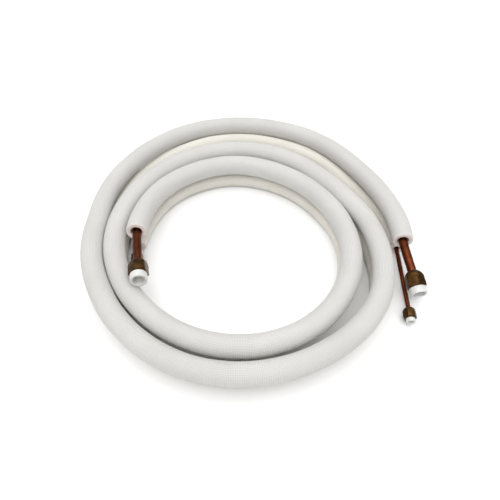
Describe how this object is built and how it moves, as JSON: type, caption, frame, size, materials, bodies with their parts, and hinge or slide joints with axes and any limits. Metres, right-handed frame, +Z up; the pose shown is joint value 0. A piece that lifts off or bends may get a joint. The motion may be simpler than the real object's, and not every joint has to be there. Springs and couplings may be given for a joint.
{
  "type": "mini split line set",
  "caption": "Coiled pair of copper refrigerant tubes in white foam sleeves, a thick suction line riding on a thin liquid line, with flare nuts and plugs on the ends.",
  "frame": {"origin": "on the floor under the middle of the whole set", "axes": "+Z up, +Y across the coil away from the bare ends, +X towards the coil's outer end"},
  "size_m": [0.4916, 0.5192, 0.0782],
  "materials": {
    "foam": "soft white foam with a fine embossed grid",
    "copper": "drawn copper, bright to dark red-brown",
    "brass": "machined brass, darkened",
    "plug": "moulded white plastic"
  },
  "bodies": {
    "root": {"suction_sleeve": "foam", "liquid_sleeve": "foam", "suction_tube": "copper", "liquid_tube": "copper"},
    "suction_outer_nut": {"suction_flare_nut_outer": "brass"},
    "suction_inner_nut": {"suction_flare_nut_inner": "brass"},
    "liquid_outer_nut": {"liquid_flare_nut_outer": "brass"},
    "liquid_inner_nut": {"liquid_flare_nut_inner": "brass"},
    "suction_outer_plug": {"suction_plug_outer": "plug"},
    "suction_inner_plug": {"suction_plug_inner": "plug"},
    "liquid_outer_plug": {"liquid_plug_outer": "plug"},
    "liquid_inner_plug": {"liquid_plug_inner": "plug"}
  },
  "joints": [
    {"name": "suction_outer_nut_spin", "type": "hinge", "parent": "root", "child": "suction_outer_nut", "pos_m": [0.23089, -0.1015, 0.02912], "axis": [0.1219, -0.9787, -0.165], "continuous": true},
    {"name": "suction_inner_nut_spin", "type": "hinge", "parent": "root", "child": "suction_inner_nut", "pos_m": [-0.14933, -0.1065, 0.06382], "axis": [0.1925, -0.9737, 0.1219], "continuous": true},
    {"name": "liquid_outer_nut_spin", "type": "hinge", "parent": "root", "child": "liquid_outer_nut", "pos_m": [0.21897, -0.14362, 0.01137], "axis": [-0.0279, -0.9996, 0], "continuous": true},
    {"name": "liquid_inner_nut_spin", "type": "hinge", "parent": "root", "child": "liquid_inner_nut", "pos_m": [-0.16882, -0.04666, 0.01137], "axis": [0.0447, -0.999, 0], "continuous": true},
    {"name": "suction_outer_plug_pull", "type": "slide", "parent": "suction_outer_nut", "child": "suction_outer_plug", "axis": [0.1219, -0.9787, -0.165], "range_m": [0, 0.012]},
    {"name": "suction_inner_plug_pull", "type": "slide", "parent": "suction_inner_nut", "child": "suction_inner_plug", "axis": [0.1925, -0.9737, 0.1219], "range_m": [0, 0.012]},
    {"name": "liquid_outer_plug_pull", "type": "slide", "parent": "liquid_outer_nut", "child": "liquid_outer_plug", "axis": [-0.0279, -0.9996, 0], "range_m": [0, 0.01]},
    {"name": "liquid_inner_plug_pull", "type": "slide", "parent": "liquid_inner_nut", "child": "liquid_inner_plug", "axis": [0.0447, -0.999, 0], "range_m": [0, 0.01]}
  ]
}
